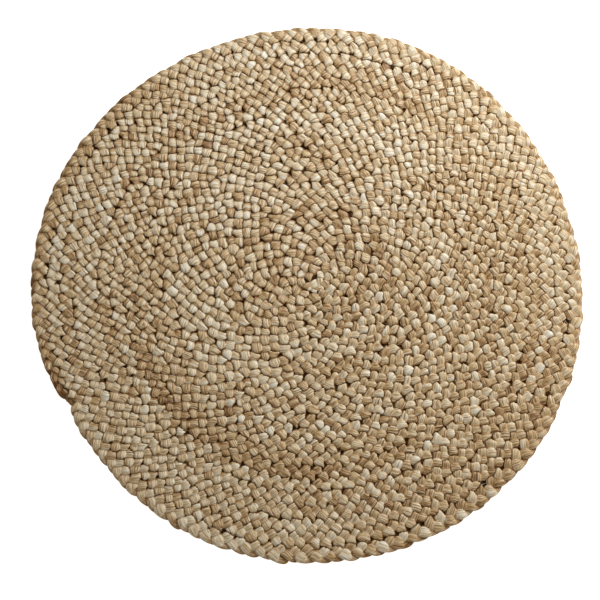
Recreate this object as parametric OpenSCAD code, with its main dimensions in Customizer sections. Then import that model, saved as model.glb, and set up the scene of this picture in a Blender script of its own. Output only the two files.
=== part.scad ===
// Round hand-braided jute rug: one flat three-strand plait coiled from the eye outward,
// each turn laced to the turn inside it, its tapered tail laid against the edge.
// The plait is drawn turn by turn as a plain closed band with stepped (rounded-off) edges.

/* [Rug] */
// Mean diameter of the rug
rug_d = 1200; // [600:10:2400]
// Thickness of the rug lying flat
rug_t = 13; // [8:0.5:20]
// How uneven the hand-laid coil is: 0 is a true spiral
unevenness = 1; // [0:0.1:2]

/* [Eye] */
// How far the eye lies to the right of the middle
eye_x = 22; // [-40:1:40]
// How far the eye lies behind the middle
eye_y = 2; // [-40:1:40]

/* [Plait] */
// Width of the groove between two turns, at its narrowest
groove_w = 1.2; // [0.6:0.1:2]
// How far the rounded-off top and bottom of the plait stand back from its edge
shoulder_w = 3.2; // [1:0.1:5]
// Height of those rounded-off shoulders
shoulder_h = 3; // [1:0.1:4]

/* [Tail] */
// Arc over which the tail narrows, in degrees
tail_arc = 18; // [8:1:40]
// Width left at the tip of the tail
tail_tip_w = 11; // [9:0.5:20]

/* [Lacing] */
// Height of the twine that laces the turns together
lacing_h = 4; // [2:0.5:6]

/* [Hidden] */
// Turns of the plait's centre line, from the eye to the tip of the tail
end_turn = 21.5;
// Where every full turn ends, counted around the eye from the right
start_angle = 26;
turn_pitch = rug_d / 2 / end_turn;
outer_turn = end_turn + 0.5;
tail_turn = end_turn - tail_arc / 360;

// Uneven outline: one side fuller, an oval, three and four corners, as shares of the radius
lean = 0.018 * unevenness;
oval = 0.0055 * unevenness;
three_corner = 0.0034 * unevenness;
four_corner = 0.0038 * unevenness;

half_groove = groove_w / 2 / turn_pitch;
half_shoulder = shoulder_w / turn_pitch;
// Straight pieces that one full turn is drawn with
steps = 72;

jute = [0.70, 0.60, 0.45];
jute_light = [0.76, 0.66, 0.51];
twine = [0.52, 0.40, 0.26];

function turn_angle(u) = 360 * u + start_angle;

function wander(a) =
    lean * cos(a + 46) + oval * cos(2 * a + 168)
    + three_corner * cos(3 * a - 160) + four_corner * cos(4 * a + 98);

// Distance from the centre of the coil at winding w, in turns, and angle a
function coil_r(w, a) = turn_pitch * w * (1 + wander(a) * pow(w / outer_turn, 2));

// A point of the plait at turn u, and s across it: -0.5 is its inner edge, 0.5 its outer one
function coil_point(u, s) =
    let (w = u + s, a = turn_angle(u), r = coil_r(w, a), back = 1 - w / outer_turn)
    [eye_x * back + r * cos(a), eye_y * back + r * sin(a)];

// The tail's outer edge closes in on its inner one
function tail_share(u) = max(0, (u - tail_turn) / (end_turn - tail_turn));
function tail_edge(u) = 0.5 - tail_share(u) * (1 - tail_tip_w / turn_pitch);

function step_list(u0, u1) =
    let (n = max(2, ceil((u1 - u0) * steps)))
    [for (i = [0 : n]) u0 + (u1 - u0) * i / n];

// Closed outline between two edges of the plait; edges are given as shares of its width
function band_outline(u0, u1, s_in, s_out) =
    let (us = step_list(u0, u1), last = len(us) - 1)
    concat(
        [for (i = [0 : last]) coil_point(us[i], s_in)],
        [for (i = [last : -1 : 0]) coil_point(us[i], min(s_out, tail_edge(us[i]) - (0.5 - s_out)))]
    );

// The rug's own outline, to stand it over the origin
rim = [for (u = step_list(end_turn - 1, end_turn)) coil_point(u, tail_edge(u) - half_groove)];
rim_x = [for (p = rim) p[0]];
rim_y = [for (p = rim) p[1]];
middle = [(min(rim_x) + max(rim_x)) / 2, (min(rim_y) + max(rim_y)) / 2];

module slab(u0, u1, inset, z0, z1) {
    translate([-middle[0], -middle[1], z0])
        linear_extrude(z1 - z0)
            polygon(band_outline(u0, u1, -0.5 + inset, 0.5 - inset));
}

// One length of plait: a full-width core between two narrower shoulders
module plait(u0, u1) {
    slab(u0, u1, half_groove + half_shoulder, 0, rug_t);
    slab(u0, u1, half_groove, shoulder_h, rug_t - shoulder_h);
}

// The start of the plait, folded on itself: a closed button that the first turn winds around
module eye_slab(inset, z0, z1) {
    translate([-middle[0], -middle[1], z0])
        linear_extrude(z1 - z0)
            polygon([for (u = step_list(0, 1)) coil_point(u, 0.5 - inset)]);
}

// The twine in the groove outside a length of plait
module lacing(u0, u1) {
    us = step_list(u0, u1);
    last = len(us) - 1;
    translate([-middle[0], -middle[1], (rug_t - lacing_h) / 2])
        linear_extrude(lacing_h)
            polygon(concat(
                [for (i = [0 : last]) coil_point(us[i], 0.5 - half_groove)],
                [for (i = [last : -1 : 0]) coil_point(us[i], 0.5 + half_groove)]
            ));
}

module centre_start() {
    color(jute_light) {
        eye_slab(half_groove + half_shoulder, 0, rug_t);
        eye_slab(half_groove, shoulder_h, rug_t - shoulder_h);
    }
}

module turn_01() { color(jute) plait(1, 2); }
module turn_02() { color(jute_light) plait(2, 3); }
module turn_03() { color(jute) plait(3, 4); }
module turn_04() { color(jute_light) plait(4, 5); }
module turn_05() { color(jute) plait(5, 6); }
module turn_06() { color(jute_light) plait(6, 7); }
module turn_07() { color(jute) plait(7, 8); }
module turn_08() { color(jute_light) plait(8, 9); }
module turn_09() { color(jute) plait(9, 10); }
module turn_10() { color(jute_light) plait(10, 11); }
module turn_11() { color(jute) plait(11, 12); }
module turn_12() { color(jute_light) plait(12, 13); }
module turn_13() { color(jute) plait(13, 14); }
module turn_14() { color(jute_light) plait(14, 15); }
module turn_15() { color(jute) plait(15, 16); }
module turn_16() { color(jute_light) plait(16, 17); }
module turn_17() { color(jute) plait(17, 18); }
module turn_18() { color(jute_light) plait(18, 19); }
module turn_19() { color(jute) plait(19, 20); }
module turn_20() { color(jute_light) plait(20, 21); }
module turn_21() { color(jute) plait(21, tail_turn); }
module tail_end() { color(jute_light) plait(tail_turn, end_turn); }

module lacing_01() { color(twine) lacing(0, 1); }
module lacing_02() { color(twine) lacing(1, 2); }
module lacing_03() { color(twine) lacing(2, 3); }
module lacing_04() { color(twine) lacing(3, 4); }
module lacing_05() { color(twine) lacing(4, 5); }
module lacing_06() { color(twine) lacing(5, 6); }
module lacing_07() { color(twine) lacing(6, 7); }
module lacing_08() { color(twine) lacing(7, 8); }
module lacing_09() { color(twine) lacing(8, 9); }
module lacing_10() { color(twine) lacing(9, 10); }
module lacing_11() { color(twine) lacing(10, 11); }
module lacing_12() { color(twine) lacing(11, 12); }
module lacing_13() { color(twine) lacing(12, 13); }
module lacing_14() { color(twine) lacing(13, 14); }
module lacing_15() { color(twine) lacing(14, 15); }
module lacing_16() { color(twine) lacing(15, 16); }
module lacing_17() { color(twine) lacing(16, 17); }
module lacing_18() { color(twine) lacing(17, 18); }
module lacing_19() { color(twine) lacing(18, 19); }
module lacing_20() { color(twine) lacing(19, 20); }
module lacing_21() { color(twine) lacing(20, end_turn - 1); }

centre_start();
turn_01();
turn_02();
turn_03();
turn_04();
turn_05();
turn_06();
turn_07();
turn_08();
turn_09();
turn_10();
turn_11();
turn_12();
turn_13();
turn_14();
turn_15();
turn_16();
turn_17();
turn_18();
turn_19();
turn_20();
turn_21();
tail_end();
lacing_01();
lacing_02();
lacing_03();
lacing_04();
lacing_05();
lacing_06();
lacing_07();
lacing_08();
lacing_09();
lacing_10();
lacing_11();
lacing_12();
lacing_13();
lacing_14();
lacing_15();
lacing_16();
lacing_17();
lacing_18();
lacing_19();
lacing_20();
lacing_21();
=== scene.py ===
import math

import bpy
import numpy as np
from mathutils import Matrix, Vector
from mathutils.kdtree import KDTree


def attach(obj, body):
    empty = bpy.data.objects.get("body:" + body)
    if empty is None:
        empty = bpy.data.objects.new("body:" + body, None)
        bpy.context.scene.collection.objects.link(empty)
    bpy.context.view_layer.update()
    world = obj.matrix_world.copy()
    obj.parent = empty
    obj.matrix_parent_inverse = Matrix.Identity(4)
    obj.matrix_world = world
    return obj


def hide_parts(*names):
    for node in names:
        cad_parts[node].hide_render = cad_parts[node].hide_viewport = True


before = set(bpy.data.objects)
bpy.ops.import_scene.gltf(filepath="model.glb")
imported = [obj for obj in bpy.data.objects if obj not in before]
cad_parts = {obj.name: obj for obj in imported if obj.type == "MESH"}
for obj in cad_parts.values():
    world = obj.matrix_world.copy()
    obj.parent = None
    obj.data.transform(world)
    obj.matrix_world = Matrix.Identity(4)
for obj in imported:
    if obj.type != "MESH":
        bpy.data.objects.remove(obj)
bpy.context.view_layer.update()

# ---------------------------------------------------------------- sizes, in mm, as in the CAD
RUG_D = 1200.0
RUG_T = 13.0
EYE = (22.0, 2.0)
FULL_TURNS = 21
END_TURN = 21.5
START_ANGLE = math.radians(26)
TURN_PITCH = RUG_D / 2 / END_TURN
OUTER_TURN = END_TURN + 0.5
TAIL_ARC = 18.0
TAIL_TIP_W = 11.0
TAIL_TURN = END_TURN - TAIL_ARC / 360
GROOVE_W = 1.2
TAIL_SHIFT = (TURN_PITCH - TAIL_TIP_W) / 2  # how far in the tail's tip lies

# ---------------------------------------------------------------- the plait
START_TURN = 0.14  # where the strands come up out of the folded start
LOBE_INNER = 26.5  # length of plait that one lobe takes, near the eye
LOBE_OUTER = 24.2  # towards the rim
LOBE_RIM = 27.0  # and in the last turn
SWING = (12.0, 13.0)  # how far a strand's middle goes to each side, near the eye and the rim
LEAN = (0.5, 1.5)  # how far past the middle it goes before it comes up
STEEP = (0.3, 1.5)  # how much steeper than a plain wave it crosses
STRAND_W = (14.4, 14.6)  # half width of a strand before it narrows
FOLD_W = (0.62, 0.65)  # share of that width where it folds back at the plait's edge
DIVE_W = (0.76, 0.76)  # and where it dives under another in the middle
CORE_H = 1.9  # half thickness of a strand where it passes under another
FOLD_H = 3.8  # and where it folds back at the edge
LOBE_H = 6.6  # height of a lobe above the middle of the plait
WEAVE_Z = 1.3  # how far a strand's middle rises and dips through the plait
SQUARE = 2.5  # how square a strand's section is: 2 is an ellipse
RINGS = 32  # cross-sections in one weave of the plait
ROUND = 20  # points round a strand
SEED = 4
PLAIT_STEPS = 60000  # steps along the whole plait
LOBE_ZONE = (250, 500)  # radii between which a lobe's length changes
SLACK_ZONE = (400, 500)  # radii between which the plait goes from slack to tight
TAIL_CALM = 0.72  # share of the weave's swing that is gone at the tail's tip
RIM_TRIM = 0.26  # share of the outward swing that the last turn lacks
TIP_TURN = 0.006  # share of a turn over which the strands' ends taper
TIP_TUCK = 2.5  # how far in those ends are tucked

# ---------------------------------------------------------------- lobes pressed together
LOBE_VARIES = 0.26  # most that a lobe's size differs from its neighbours', as a share
SETTLE_ROUNDS = 60
SETTLE_MOST = 4.0  # furthest that a lobe is pushed aside
JITTER = 0.9
RIVALS = 8  # neighbours that a lobe is pressed against
SLANT = (math.radians(36), math.radians(45))  # of a lobe across the plait, near the eye and the rim
OVAL_LONG = (18.0, 16.5)  # half length of a lobe's oval
OVAL_WIDE = (12.0, 13.0)  # and its half width
OVAL_EDGE = 3.0  # how late a lobe falls away towards its oval's edge
TUCK_DROP = 0.7  # share of its height that a lobe loses where it goes under a neighbour
TUCK_RUN = 2.2  # how far from that neighbour the drop starts, in the neighbour's measure, squared
CREASE_Z = 2.5  # height of the creases' floor above the plait's middle
CREASE_W = 0.2
SHOULDER = 1.9  # width of a lobe's rounded edge
PRESS_ROUNDS = 2
PRESS_MOST = 8  # furthest that a point is pressed back
SUNK_Z = (2.3, 3.55)  # heights above the middle between which the shade of the creases fades

# ---------------------------------------------------------------- start, stray fibres and twine
KNOT_AT = (1.0, 5.0)  # middle of the folded start, from the eye
KNOT_REACH = 16.0
KNOT_ASIDE = 5.8
KNOT_W = 8.8
STRAY_EVERY = 30  # rings of a strand to one stray fibre
TWINE_R = 1.8
TWINE_LAY = 5.0  # length of one twist
TWINE_STEP = 1.5
TWINE_ROUND = 8
STITCH = 9.0  # length of one zigzag
STITCH_SWING = 4.6
STITCH_RISE = 0.9

# ---------------------------------------------------------------- colours and light
JUTE_COLOURS = (
    (0.00, (0.15, 0.066, 0.018)),
    (0.22, (0.36, 0.198, 0.070)),
    (0.45, (0.60, 0.425, 0.215)),
    (0.70, (0.745, 0.650, 0.485)),
    (1.00, (0.80, 0.780, 0.690)),
)
# painted shade of the creases, from none to near-black brown; it also darkens the splits between
# fibres
CREASE_SHADE_COLOURS = (
    (0.0, (1.0, 1.0, 1.0)),
    (0.5, (0.52, 0.37, 0.21)),
    (1.0, (0.05, 0.024, 0.008)),
)
TWINE_COLOURS = ((0.25, (0.10, 0.055, 0.025)), (0.75, (0.30, 0.195, 0.105)))
SPLIT_STOPS = ((0.30, (1, 1, 1)), (0.40, (0, 0, 0)))
SPLIT_DEPTH = 0.5  # how dark the splits between fibres are, beside the creases
KEY = ((1.52, 1.70, 1.60), 0.45, 78, (0.955, 0.98, 1.0))  # place, size, watts and tint
FILL = ((1.5, -0.6, 2.4), 1.8, 5, (1.0, 1.0, 1.0))
SKY = (1, 0.955, 0.87, 1)
SKY_STRENGTH = 0.29
FLOOR_HALF = 6
FLOOR_DROP = 0.0004
CAMERA_DISTANCE = 5.0
CAMERA_UP = math.radians(77)
CAMERA_AIM = (-0.015, -0.026, 0.006)
CAMERA_LENS = 135.8


def smooth(x, low, high):
    f = np.clip((x - low) / (high - low), 0, 1)
    return f * f * (3 - 2 * f)


def ease(knots, k):
    """The value between knots at a place k counted in knots, with no sudden changes."""
    i = np.clip(k.astype(int), 0, len(knots) - 2)
    f = smooth(k - i, 0, 1)
    if knots.ndim > 1:
        f = f[:, None]
    return knots[i] * (1 - f) + knots[i + 1] * f


def drift(rng, at, scale=1.0):
    """Random numbers between -1 and 1 that change smoothly over each length of scale."""
    k = (at - at.min()) / scale
    return ease(rng.uniform(-1, 1, int(k.max()) + 3), k)


def ribs(rng, along, length, count):
    """Ridges that run along a strand: they change over length, and count of them lie round it."""
    k = (along - along.min()) / length
    knots = rng.uniform(-1, 1, (int(k.max()) + 3, count))
    around = np.arange(ROUND) / ROUND * count
    wrapped = np.concatenate((knots, knots[:, :1]), 1)
    return ease(ease(wrapped.T, around).T, k)


def wander(angle):
    """How far the hand-laid coil strays from a true spiral, as a share of its radius."""
    deg = np.degrees(angle)

    def cos(a):
        return np.cos(np.radians(a))

    return (
        0.018 * cos(deg + 46)
        + 0.0055 * cos(2 * deg + 168)
        + 0.0034 * cos(3 * deg - 160)
        + 0.0038 * cos(4 * deg + 98)
    )


def coil_xy(w, angle):
    """Where winding w of the coil lies at this angle round the eye, in mm."""
    r = TURN_PITCH * w * (1 + wander(angle) * (w / OUTER_TURN) ** 2)
    back = 1 - w / OUTER_TURN
    return EYE[0] * back + r * np.cos(angle), EYE[1] * back + r * np.sin(angle)


def tail_share(u):
    """How far along the tapered tail a place lies, from 0 to 1 at its tip."""
    return np.clip((u - TAIL_TURN) / (END_TURN - TAIL_TURN), 0, 1)


def rim_share(u):
    """0 inside the last turn, 1 along it."""
    return smooth(u, END_TURN - 1.1, END_TURN - 0.9)


def outline_middle():
    """The middle of the rug's outline: the frame's origin is there."""
    u = np.linspace(END_TURN - 1, END_TURN, 73)
    edge = 0.5 - tail_share(u) * (1 - TAIL_TIP_W / TURN_PITCH)
    x, y = coil_xy(u + edge - GROOVE_W / 2 / TURN_PITCH, 2 * math.pi * u + START_ANGLE)
    return (x.min() + x.max()) / 2, (y.min() + y.max()) / 2


MIDDLE = outline_middle()


def lobe_length(u):
    """Length of plait that one lobe takes."""
    outward = smooth(TURN_PITCH * u, *LOBE_ZONE)
    rim = rim_share(u)
    return LOBE_INNER + (LOBE_OUTER - LOBE_INNER) * outward + (LOBE_RIM - LOBE_OUTER) * rim


def lay_out_plait(rng):
    """Turn u, length s along the plait and weave phase, at close steps along it."""
    u = np.linspace(START_TURN, END_TURN, PLAIT_STEPS)
    radius = TURN_PITCH * u
    speed = 2 * math.pi * radius
    s = np.concatenate(([0], np.cumsum((speed[1:] + speed[:-1]) / 2 * np.diff(u))))
    lobe = lobe_length(u) * (1 + 0.07 * drift(rng, s, 260) + 0.10 * drift(rng, s, 70))
    rate = 2 * math.pi / (3 * lobe)
    phase = np.concatenate(([0], np.cumsum((rate[1:] + rate[:-1]) / 2 * np.diff(s))))
    return u, s, phase


def by_zone(pair, u):
    """A size that changes from the slack plait near the eye to the tight one near the rim."""
    return pair[0] + (pair[1] - pair[0]) * smooth(TURN_PITCH * u, *SLACK_ZONE)


def sway(t, u):
    """How far a strand's middle lies to the side of the plait's middle."""
    tail = tail_share(u)
    steep = by_zone(STEEP, u)
    wave = (by_zone(SWING, u) - steep) * np.sin(t) - steep * np.sin(3 * t)
    wave = wave - by_zone(LEAN, u) * np.cos(t)
    wave = wave * (1 - RIM_TRIM * rim_share(u) * (wave > 0))
    return (1 - TAIL_CALM * tail) * wave - tail * TAIL_SHIFT


def plan(u, ahead, x):
    """Place on the rug of a point x to the side of the plait's middle, and ahead along it."""
    w = np.maximum(u + x / TURN_PITCH, 0.02)
    angle = 2 * math.pi * u + START_ANGLE + ahead / (TURN_PITCH * np.maximum(w, 0.4))
    px, py = coil_xy(w, angle)
    return px - MIDDLE[0], py - MIDDLE[1]


def lobe_tree(places):
    tree = KDTree(len(places))
    for i, (x, y) in enumerate(places):
        tree.insert((x, y, 0), i)
    tree.balance()
    return tree


def settle(places, spacing):
    """Lobes that crowd each other push apart, as when the turns are laced up tight."""
    tree = lobe_tree(places)
    reach = 1.7 * spacing.max()
    near = [[j for _, j, _ in tree.find_range((x, y, 0), reach)] for x, y in places]
    pairs = np.array([(i, j) for i, found in enumerate(near) for j in found if j > i])
    i, j = pairs.T
    want = (spacing[i] + spacing[j]) / 2
    shift = np.zeros_like(places)
    for _ in range(SETTLE_ROUNDS):
        gap = places[i] + shift[i] - places[j] - shift[j]
        far = np.hypot(*gap.T) + 1e-6
        push = (0.22 * np.maximum(want - far, 0) / far)[:, None] * gap
        np.add.at(shift, i, push)
        np.add.at(shift, j, -push)
        shift *= 0.97
        size = np.hypot(*shift.T)
        shift *= np.minimum(1, SETTLE_MOST / np.maximum(size, 1e-6))[:, None]
    return shift


def column(t, u):
    """How far the middle of a lobe lies to the side of the plait's middle."""
    tail = tail_share(u)
    rim = rim_share(u)
    right = np.sin(t) > 0
    x = TURN_PITCH / 4 * np.where(right, 1 - 0.2 * rim, -1)
    return (1 - TAIL_CALM * tail) * x - tail * TAIL_SHIFT


def lobe_axes(t, u, place, size):
    """Each lobe's own measure: one at the edge of its oval, along and across its strand."""
    slant = by_zone(SLANT, u) * np.sign(np.sin(2 * t)) * np.sign(np.sin(t))
    ahead = np.stack(plan(u, np.cos(slant), column(t, u) + np.sin(slant)), 1) - place
    ahead /= np.linalg.norm(ahead, axis=1)[:, None]
    side = np.stack((-ahead[:, 1], ahead[:, 0]), 1)
    long = ahead / (size * by_zone(OVAL_LONG, u))[:, None]
    return np.stack((long, side / (size * by_zone(OVAL_WIDE, u))[:, None]), 1)


def rivals(places):
    """The nearest lobes round each lobe."""
    tree = lobe_tree(places)
    near = [tree.find_n((x, y, 0), RIVALS + 1) for x, y in places]
    return np.array([[j for _, j, _ in found][1:] for found in near])


def settle_lobes(rng, fine):
    """Each strand's lobes: their sizes, how far each is pushed aside, and the room it has."""
    u_at, s_at, phase_at = fine
    found = []
    for which in range(3):
        first = 2 * math.pi * which / 3
        lobe = np.arange(int((phase_at[-1] + first) / (math.pi / 2)) + 2)
        t = (lobe + 0.5) * math.pi / 2
        u = np.interp(t - first, phase_at, u_at)
        size = 1 + LOBE_VARIES * rng.uniform(-1, 1, len(lobe)) * rng.uniform(0.3, 1, len(lobe))
        place = np.stack(plan(u, 0, column(t, u)), 1)
        found.append((which, lobe, size, place, u, lobe_axes(t, u, place, size)))
    strand_of = np.concatenate([np.full(len(f[1]), f[0]) for f in found])
    lobe_of = np.concatenate([f[1] for f in found])
    size = np.concatenate([f[2] for f in found])
    places = np.concatenate([f[3] for f in found])
    u = np.concatenate([f[4] for f in found])
    axes = np.concatenate([f[5] for f in found])
    spacing = size * np.sqrt(lobe_length(u) * TURN_PITCH / math.sqrt(3))
    shift = np.zeros_like(places)
    around = np.zeros((len(places), RIVALS), int)
    for side in (0, 1):
        on = lobe_of % 2 == side
        shift[on] = settle(places[on], spacing[on]) + JITTER * rng.normal(0, 1, (on.sum(), 2))
        around[on] = np.flatnonzero(on)[rivals((places + shift)[on])]
    places = places + shift
    lobes = (size, shift, places, axes, places[around], axes[around])
    return [[part[strand_of == which] for part in lobes] for which in range(3)]


def measure(x, y, middle, axes):
    """How far a point is from a lobe's middle in its own measure, squared, and which way."""
    dx, dy = x - middle[..., 0], y - middle[..., 1]
    a = axes[..., 0, 0] * dx + axes[..., 0, 1] * dy
    b = axes[..., 1, 0] * dx + axes[..., 1, 1] * dy
    gx = 2 * (a * axes[..., 0, 0] + b * axes[..., 1, 0])
    gy = 2 * (a * axes[..., 0, 1] + b * axes[..., 1, 1])
    return a * a + b * b, gx, gy


def room(x, y, cell):
    """How far inside each border of its lobe's own room a point lies, and which way is in."""
    middle, axes, around, around_axes = cell
    x, y = x[..., None], y[..., None]
    own, ax, ay = measure(x, y, middle[:, None, None], axes[:, None, None])
    other, bx, by = measure(x, y, around[:, None], around_axes[:, None])
    far = np.hypot(bx - ax, by - ay) + 1e-6
    return (other - own) / far, (bx - ax) / far, (by - ay) / far, own[..., 0], other


def press(px, py, lz, face, cell):
    """One face of a strand, kept to each lobe's own room, with a crease round the lobe."""
    middle, axes, around, around_axes = cell
    away = middle[:, None] - around
    away /= np.linalg.norm(away, axis=-1)[..., None]
    heading = axes[:, 0] / np.linalg.norm(axes[:, 0], axis=-1)[:, None]
    theirs = around_axes[:, :, 0] / np.linalg.norm(around_axes[:, :, 0], axis=-1)[..., None]
    under = smooth((away * heading[:, None]).sum(-1), 0.45, 0.75)[:, None]
    over = smooth(-(away * theirs).sum(-1), 0.45, 0.75)[:, None]
    free = np.maximum(under, over)

    up = face * (lz - RUG_T / 2) - CREASE_Z
    grip = smooth(up, 0, 0.8)
    ring = np.arange(len(px))[:, None]
    column_of = np.arange(px.shape[1])[None]
    d, inx, iny, own, other = room(px, py, cell)
    beside = np.sqrt(1 - (1 - np.clip(d / SHOULDER, 0, 1)) ** 2)
    beside = beside + (1 - beside) * free
    tucked = 1 - TUCK_DROP * under * (1 - smooth(other, 0.7, TUCK_RUN))
    dome = (beside * tucked).prod(-1) * np.sqrt(1 - np.clip(own, 0, 1) ** OVAL_EDGE)
    for _ in range(PRESS_ROUNDS):
        d = d + 20 * free
        worst = d.argmin(-1)
        back = np.clip(CREASE_W / 2 - d.min(-1), 0, PRESS_MOST) * grip
        px = px + back * inx[ring, column_of, worst]
        py = py + back * iny[ring, column_of, worst]
        d, inx, iny = room(px, py, cell)[:3]
    lz = np.where(up > 0, lz - face * up * (1 - dome), lz)
    return px, py, lz


def across(half_w, rise_h, sink_h, roll, swell):
    """Rings of points across a strand, to its side and above its middle."""
    a = np.arange(ROUND) / ROUND * 2 * math.pi
    c, s = np.cos(a), np.sin(a)
    c, s = [np.sign(v) * np.abs(v) ** (2 / SQUARE) for v in (c, s)]
    p = half_w[:, None] * c * swell
    q = np.where(s > 0, rise_h[:, None], sink_h[:, None]) * s * swell
    turn_c, turn_s = np.cos(roll)[:, None], np.sin(roll)[:, None]
    return p * turn_c - q * turn_s, p * turn_s + q * turn_c, c, s


def strand(rng, fine, which, lobes):
    """The surface of one strand as rings of points, with what its material needs."""
    u_at, s_at, phase_at = fine
    first = 2 * math.pi * which / 3
    tau = np.arange(first, phase_at[-1] + first, 2 * math.pi / RINGS)
    t = np.clip(tau - 0.11 * np.sin(4 * tau), first, phase_at[-1] + first)
    u, s = np.interp(t - first, phase_at, u_at), np.interp(t - first, phase_at, s_at)
    lobe = t / (math.pi / 2) - 0.5
    sizes, shifts, *cells = lobes
    size = ease(sizes, np.maximum(lobe, 0))
    shift = ease(shifts, np.maximum(lobe, 0))

    tail = tail_share(u)
    start = 1 - smooth(u, START_TURN, 0.9)
    tip = smooth(u, END_TURN - TIP_TURN, END_TURN)
    slack = (1 - 0.42 * tail) * (1 - 0.2 * start) * (1 - 0.5 * tip)
    thin = (1 - 0.5 * tail) * (1 - 0.3 * start) * (1 - 0.55 * tip) * size
    fold, dive = np.sin(t) ** 4, np.cos(t) ** 4
    over = np.sin(2 * t)
    place = (t / (math.pi / 2)) % 1
    crown = np.sqrt(1 - np.abs(2 * place - 1) ** 2.6)

    x = sway(t, u) + 1.3 * drift(rng, lobe) - TIP_TUCK * tip
    ahead = 1.5 * drift(rng, lobe)
    z = RUG_T / 2 + slack * WEAVE_Z * np.sign(over) * crown - 1.0 * tail - 1.0 * tip
    narrow = (1 - by_zone(FOLD_W, u)) * fold + (1 - by_zone(DIVE_W, u)) * dive
    half_w = by_zone(STRAND_W, u) * (1 - narrow)
    half_w = thin * (half_w + 0.5 * drift(rng, lobe))
    core = slack * (CORE_H + (FOLD_H - CORE_H) * fold)
    top = slack * (LOBE_H - WEAVE_Z) * (1 + 0.6 * (size - 1) + 0.07 * drift(rng, lobe))
    puff = core + (top - core) * crown
    flat = core * (1 - 0.3 * crown)
    rise_h, sink_h = np.where(over > 0, puff, flat), np.where(over > 0, flat, puff)

    along_s = s + ahead
    ds, dx, dz = np.gradient(along_s), np.gradient(x), 0.4 * np.gradient(z)
    level = np.hypot(ds, dx) + 1e-9
    side = np.stack((-dx / level, ds / level, 0 * s), 1)
    along = np.stack((ds, dx, dz), 1) / np.sqrt(level**2 + dz**2)[:, None]
    rise = np.cross(along, side)
    length = np.concatenate(([0], np.cumsum(np.hypot(level, dz)[1:])))

    swell = 1 + 0.06 * ribs(rng, length, 45, 11) + 0.07 * ribs(rng, length, 20, 7)
    p, q, c, h = across(half_w, rise_h, sink_h, 0.14 * drift(rng, lobe), swell)
    local = np.stack((ahead, x, z), 1)[:, None] + p[..., None] * side[:, None]
    local = local + q[..., None] * rise[:, None]
    px, py = plan(u[:, None], local[..., 0], local[..., 1])
    lz = local[..., 2]
    lz = np.where(lz < 0.5, 0.5 * np.exp((lz - 0.5) / 0.8), lz)
    px, py = px + shift[:, :1], py + shift[:, 1:]
    for face, k in ((1, 2 * np.rint(lobe / 2)), (-1, 2 * np.rint((lobe - 1) / 2) + 1)):
        k = np.clip(k.astype(int), 0, len(sizes) - 1)
        px, py, lz = press(px, py, lz, face, [part[k] for part in cells])
    points = np.stack((px, py, lz), -1) / 1000

    fibre = np.stack((length[:, None] + 0 * p, half_w[:, None] * c, puff[:, None] * h), -1)
    fibre[..., 0] += 7000 * which
    tone = 0.47 + 0.13 * drift(rng, length, 260) + 0.15 * drift(rng, length, 1400)
    tone = tone + 0.06 * drift(rng, lobe, 1.0)
    tone = tone[:, None] + 0 * p
    rim = smooth(u, END_TURN - 1.02, END_TURN - 0.98)[:, None] * smooth(local[..., 1], 3, 9)
    # painted shade: the colour darkens down in the creases between lobes, less so along the rim and
    # the tail
    crease_shade = sunk(lz) * (1 - 0.6 * rim) * (1 - 0.45 * tail[:, None])
    return points, fibre, tone, crease_shade, u


def sunk(z):
    """How far down between the lobes a point lies, from 0 on top to 1."""
    return 1 - smooth(np.abs(z - RUG_T / 2), SUNK_Z[0], SUNK_Z[1])


def skin(middle, p, q):
    """Rings of points round a path, from how far each lies to its side and above it."""
    step = np.gradient(middle, axis=0)
    along = step / np.linalg.norm(step, axis=1)[:, None]
    side = np.stack((-step[:, 1], step[:, 0], 0 * step[:, 0]), 1)
    side /= np.linalg.norm(side, axis=1)[:, None]
    rise = np.cross(along, side)
    return middle[:, None] + p[..., None] * side[:, None] + q[..., None] * rise[:, None]


def folded_start(rng):
    """The strands' first ends, folded over each other in the eye of the coil."""
    arms = []
    for arm in range(3):
        run = np.linspace(-1, 1, 2 * RINGS)
        turn = math.radians(120 * arm + 35)
        ahead, aside = KNOT_REACH * run, KNOT_ASIDE * (1 - 0.4 * run**2)
        x = ahead * math.cos(turn) - aside * math.sin(turn) + EYE[0] + KNOT_AT[0] - MIDDLE[0]
        y = ahead * math.sin(turn) + aside * math.cos(turn) + EYE[1] + KNOT_AT[1] - MIDDLE[1]
        z = RUG_T / 2 - 1.7 * np.sin(math.pi * run * 0.8)
        half_w = KNOT_W * (1 - 0.4 * run**4)
        half_h = 4.3 - 1.6 * run**2 + 0.3 * rng.uniform(-1, 1)
        length = ahead + KNOT_REACH
        swell = 1 + 0.06 * ribs(rng, length, 18, 9)
        p, q, c, h = across(half_w, half_h, half_h, 0.2 * drift(rng, run, 0.7), swell)
        points = skin(np.stack((x, y, z), 1), p, q)
        fibre = np.stack((length[:, None] + 0 * p, half_w[:, None] * c, half_h[:, None] * h), -1)
        fibre[..., 0] += 30000 + 1000 * arm
        tone = 0.45 + 0.15 * rng.uniform(-1, 1) + 0 * p
        # the folded start gets the same painted shade down in its creases
        arms.append((points / 1000, fibre, tone, sunk(points[..., 2])))
    return arms


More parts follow.
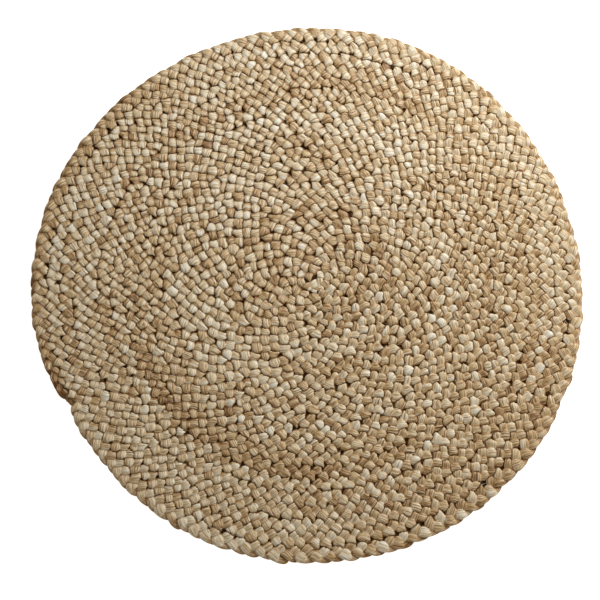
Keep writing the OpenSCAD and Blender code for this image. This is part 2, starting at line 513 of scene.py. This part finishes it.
def strays(rng, tube):
    """Single fibres that have worked loose from a strand and lie along it, ends lifting."""
    points = tube[0]
    loose = []
    for _ in range(len(points) // STRAY_EVERY):
        rings = int(rng.uniform(0.3, 0.9) * RINGS / 2)
        first = int(rng.uniform(0, max(1, len(points) - rings)))
        run = points[first : first + rings]
        if len(run) < 4:
            continue
        along = np.linspace(0, 1, len(run))
        column = ROUND * (rng.uniform(0.1, 0.4) + rng.uniform(-0.12, 0.12) * along)
        j = column.astype(int) % ROUND
        f = (column % 1)[:, None]
        i = np.arange(len(run))
        on = run[i, j] * (1 - f) + run[i, (j + 1) % ROUND] * f
        out = on - run.mean(1)
        out /= np.linalg.norm(out, axis=1)[:, None]
        lift = 0.2 + rng.uniform(0.2, 1.0) * np.sin(math.pi * along)
        lift += rng.uniform(0, 2.4) * along**3
        middle = on * 1000 + out * lift[:, None]
        r = rng.uniform(0.20, 0.34) * (1 - 0.7 * along**4)
        a = np.arange(4) / 4 * 2 * math.pi
        p, q = r[:, None] * np.cos(a), r[:, None] * np.sin(a)
        fibre = np.stack((50 * along[:, None] + 0 * p, p, q), -1) + rng.uniform(0, 900)
        tone = rng.uniform(0.45, 1.0) + 0 * p
        loose.append((skin(middle, p, q) / 1000, fibre, tone, 0 * p))
    return loose


def twine(rng, low, high):
    """The twine that laces two turns together, zigzag in the groove between them."""
    steps = int(2 * math.pi * TURN_PITCH * (low + high + 1) / 2 / TWINE_STEP) + 8
    u = np.linspace(low, high, steps)
    s = math.pi * TURN_PITCH * (u + 0.5) ** 2
    stitch = 2 * math.pi * s / STITCH
    x, y = plan(u + 0.5, 0, STITCH_SWING * np.sin(stitch))
    z = RUG_T / 2 + STITCH_RISE * np.cos(stitch)
    half = TWINE_R * (1 + 0.1 * drift(rng, s, 4.0))
    a = np.arange(TWINE_ROUND) / TWINE_ROUND * 2 * math.pi
    lay = 1 + 0.14 * np.cos(2 * a[None] + (2 * math.pi * s / TWINE_LAY)[:, None])
    p, q = half[:, None] * np.cos(a) * lay, half[:, None] * np.sin(a) * lay
    points = skin(np.stack((x, y, z), 1), p, q) / 1000
    fibre = np.stack((s[:, None] + 0 * p, 2 * p, 2 * q), -1)
    return points, fibre, 0.35 + 0 * p, 0.6 + 0 * p


def tube_faces(rings, around, first):
    """Quads of one tube of points, with a fan over each end."""
    i = np.arange(rings - 1)[:, None] * around
    j = np.arange(around)[None]
    k = (j + 1) % around
    quads = np.stack((i + j, i + around + j, i + around + k, i + k), -1).reshape(-1, 4)
    j, k = j[0], k[0]
    start, end, last = rings * around, rings * around + 1, (rings - 1) * around
    fans = np.concatenate(
        (
            np.stack((np.full(around, start), j, k), -1),
            np.stack((np.full(around, end), last + k, last + j), -1),
        )
    )
    return quads + first, fans + first


def tube_mesh(name, tubes):
    """One mesh of closed tubes. Each tube is its points, fibre directions, tone and painted crease
    shade.
    """
    verts, fibre, tone, crease_shade, quads, fans = [], [], [], [], [], []
    first = 0
    for points, f, t, d in tubes:
        verts += [points.reshape(-1, 3), points[[0, -1]].mean(1)]
        fibre += [f.reshape(-1, 3), f[[0, -1]].mean(1)]
        tone += [t.ravel(), t[[0, -1]].mean(1)]
        crease_shade += [d.ravel(), d[[0, -1]].mean(1)]
        q, c = tube_faces(*points.shape[:2], first)
        quads.append(q)
        fans.append(c)
        first += points.shape[0] * points.shape[1] + 2
    quads, fans = np.concatenate(quads), np.concatenate(fans)
    mesh = bpy.data.meshes.new(name)
    mesh.vertices.add(first)
    mesh.vertices.foreach_set("co", np.concatenate(verts).ravel())
    mesh.loops.add(quads.size + fans.size)
    mesh.loops.foreach_set("vertex_index", np.concatenate((quads.ravel(), fans.ravel())))
    starts = np.concatenate(
        (np.arange(len(quads)) * 4, quads.size + np.arange(len(fans)) * 3)
    )
    mesh.polygons.add(len(starts))
    mesh.polygons.foreach_set("loop_start", starts)
    mesh.polygons.foreach_set("use_smooth", np.ones(len(starts), bool))
    mesh.update(calc_edges=True)
    mesh.validate()
    for key, kind, values in (
        ("fibre", "FLOAT_VECTOR", np.concatenate(fibre)),
        ("tone", "FLOAT", np.concatenate(tone)),
        ("crease_shade", "FLOAT", np.concatenate(crease_shade)),
    ):
        a = mesh.attributes.new(key, kind, "POINT")
        a.data.foreach_set("vector" if kind == "FLOAT_VECTOR" else "value", values.ravel())
    return mesh


def piece(name, tubes, material, slot, *nodes):
    """One piece of the model, riding the root body in place of its CAD nodes."""
    o = bpy.data.objects.new(name, tube_mesh(name, tubes))
    bpy.context.scene.collection.objects.link(o)
    o.data.materials.append(material)
    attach(o, "root")
    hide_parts(*nodes)


# ---------------------------------------------------------------- materials
def node(tree, kind, **inputs):
    n = tree.nodes.new(kind)
    for key, value in inputs.items():
        n.inputs[key.replace("_", " ")].default_value = value
    return n


def attribute(tree, name):
    n = tree.nodes.new("ShaderNodeAttribute")
    n.attribute_name = name
    return n


def streaks(tree, vector, detail, along, across):
    """Noise drawn out along the strand."""
    m = node(tree, "ShaderNodeMapping", Scale=(along, across, across))
    tree.links.new(vector, m.inputs["Vector"])
    n = node(tree, "ShaderNodeTexNoise", Scale=1.0, Detail=detail, Roughness=0.6)
    tree.links.new(m.outputs[0], n.inputs["Vector"])
    return n.outputs["Fac"]


def math_node(tree, operation, a, b):
    n = tree.nodes.new("ShaderNodeMath")
    n.operation = operation
    for i, v in enumerate((a, b)):
        if isinstance(v, (int, float)):
            n.inputs[i].default_value = v
        else:
            tree.links.new(v, n.inputs[i])
    return n.outputs[0]


def ramp(tree, value, stops):
    n = tree.nodes.new("ShaderNodeValToRGB")
    while len(n.color_ramp.elements) > 1:
        n.color_ramp.elements.remove(n.color_ramp.elements[0])
    for i, (at, colour) in enumerate(stops):
        e = n.color_ramp.elements[0] if i == 0 else n.color_ramp.elements.new(at)
        e.position, e.color = at, (*colour, 1)
    tree.links.new(value, n.inputs[0])
    return n.outputs[0]


def jute_material():
    """Untwisted jute: straw to brown in streaks along the strand, with painted shade down in the
    weave's creases.
    """
    mat = bpy.data.materials.new("jute")
    mat.use_nodes = True
    tree = mat.node_tree
    shader = tree.nodes["Principled BSDF"]
    fibre = attribute(tree, "fibre").outputs["Vector"]
    tone = attribute(tree, "tone").outputs["Fac"]
    crease_shade = attribute(tree, "crease_shade").outputs["Fac"]
    fine = streaks(tree, fibre, 2.0, 0.030, 0.80)
    coarse = streaks(tree, fibre, 1.0, 0.018, 0.36)
    split = streaks(tree, fibre, 1.0, 0.016, 0.42)
    patch = streaks(tree, fibre, 2.0, 0.012, 0.05)
    total = tone
    for noise, weight in ((fine, 1.45), (coarse, 1.0), (patch, 0.5)):
        scaled = math_node(tree, "MULTIPLY_ADD", noise, weight)
        scaled.node.inputs[2].default_value = -weight / 2
        total = math_node(tree, "ADD", total, scaled)
    colour = ramp(tree, total, JUTE_COLOURS)
    gaps = ramp(tree, split, SPLIT_STOPS)
    gaps = math_node(tree, "MULTIPLY", gaps, SPLIT_DEPTH)
    crease_shade = math_node(tree, "MAXIMUM", crease_shade, gaps)
    # painted shade: the creases, and the splits between fibres, darken the jute's colour
    crease_shade_tint = ramp(tree, crease_shade, CREASE_SHADE_COLOURS)
    shade = tree.nodes.new("ShaderNodeMix")
    shade.data_type, shade.blend_type = "RGBA", "MULTIPLY"
    shade.inputs[0].default_value = 1
    tree.links.new(colour, shade.inputs[6])
    tree.links.new(crease_shade_tint, shade.inputs[7])
    tree.links.new(shade.outputs[2], shader.inputs["Base Color"])
    shader.inputs["Roughness"].default_value = 0.52
    shader.inputs["Sheen Weight"].default_value = 0.15
    shader.inputs["Sheen Roughness"].default_value = 0.4
    # less gloss where the creases' painted shade is
    gloss = math_node(tree, "SUBTRACT", 0.5, math_node(tree, "MULTIPLY", crease_shade, 0.5))
    tree.links.new(gloss, shader.inputs["Specular IOR Level"])
    bump = node(tree, "ShaderNodeBump", Strength=0.8, Distance=0.0008)
    tree.links.new(math_node(tree, "ADD", fine, coarse), bump.inputs["Height"])
    tree.links.new(bump.outputs[0], shader.inputs["Normal"])
    return mat


def twine_material():
    """Plain brown jute twine."""
    mat = bpy.data.materials.new("twine")
    mat.use_nodes = True
    tree = mat.node_tree
    shader = tree.nodes["Principled BSDF"]
    fibre = attribute(tree, "fibre").outputs["Vector"]
    strands = streaks(tree, fibre, 3.0, 0.15, 1.6)
    colour = ramp(tree, strands, TWINE_COLOURS)
    tree.links.new(colour, shader.inputs["Base Color"])
    shader.inputs["Roughness"].default_value = 0.8
    shader.inputs["Specular IOR Level"].default_value = 0.2
    bump = node(tree, "ShaderNodeBump", Strength=0.5, Distance=0.0004)
    tree.links.new(strands, bump.inputs["Height"])
    tree.links.new(bump.outputs[0], shader.inputs["Normal"])
    return mat


# ---------------------------------------------------------------- the rug
rng = np.random.default_rng(SEED)
fine = lay_out_plait(rng)
lobes = settle_lobes(rng, fine)
strands = [strand(rng, fine, which, lobes[which]) for which in range(3)]
jute = jute_material()
ends = [START_TURN] + list(range(1, FULL_TURNS + 1)) + [TAIL_TURN, END_TURN]
names = ["centre_start"] + ["turn_%02d" % k for k in range(1, FULL_TURNS + 1)] + ["tail_end"]
for name, low, high in zip(names, ends, ends[1:]):
    tubes = []
    for one in strands:
        a, b = [int(np.searchsorted(one[-1], v)) for v in (low, high)]
        tubes.append([part[a : b + 1] for part in one[:-1]])
    if name == "centre_start":
        tubes += folded_start(rng)
    tubes += [fibre for tube in tubes for fibre in strays(rng, tube)]
    piece(name + "_plait", tubes, jute, "jute_plait", name)
twine_look = twine_material()
for k in range(1, FULL_TURNS + 1):
    name = "lacing_%02d" % k
    run = twine(rng, k - 1 if k > 1 else 0.15, min(k, END_TURN - 1))
    piece(name + "_twine", [run], twine_look, "lacing_twine", name)

# ---------------------------------------------------------------- stage
floor_mesh = bpy.data.meshes.new("floor")
corners = [(x * FLOOR_HALF, y * FLOOR_HALF, 0) for x, y in ((-1, -1), (1, -1), (1, 1), (-1, 1))]
floor_mesh.from_pydata(corners, [], [(0, 1, 2, 3)])
floor = bpy.data.objects.new("floor", floor_mesh)
floor.location.z = -FLOOR_DROP
bpy.context.scene.collection.objects.link(floor)
pale = bpy.data.materials.new("pale_floor")
pale.use_nodes = True
pale_shader = pale.node_tree.nodes["Principled BSDF"]
pale_shader.inputs["Base Color"].default_value = (0.90, 0.90, 0.90, 1)
pale_shader.inputs["Roughness"].default_value = 0.9
pale_shader.inputs["Emission Color"].default_value = (1, 1, 1, 1)
pale_shader.inputs["Emission Strength"].default_value = 0.80
floor_mesh.materials.append(pale)


def softbox(name, place, size, watts, tint):
    """A round soft light that points at the middle of the rug."""
    light = bpy.data.lights.new(name, "AREA")
    light.shape, light.size, light.energy = "DISK", size, watts
    light.color = tint
    o = bpy.data.objects.new(name, light)
    o.location = place
    o.rotation_euler = (-Vector(place)).to_track_quat("-Z", "Y").to_euler()
    bpy.context.scene.collection.objects.link(o)


softbox("key", *KEY)
softbox("fill", *FILL)
world = bpy.data.worlds.new("studio")
bpy.context.scene.world = world
world.use_nodes = True
sky = world.node_tree.nodes["Background"]
sky.inputs["Color"].default_value = SKY
sky.inputs["Strength"].default_value = SKY_STRENGTH

cam = bpy.data.objects.new("camera", bpy.data.cameras.new("camera"))
bpy.context.scene.collection.objects.link(cam)
aim = Vector(CAMERA_AIM)
back = Vector((0, -math.cos(CAMERA_UP), math.sin(CAMERA_UP)))
cam.location = aim + CAMERA_DISTANCE * back
cam.rotation_euler = (aim - cam.location).to_track_quat("-Z", "Y").to_euler()
cam.data.lens = CAMERA_LENS
cam.data.sensor_width = 36
cam.data.clip_end = 50
bpy.context.scene.camera = cam
bpy.context.scene.view_settings.view_transform = "Standard"
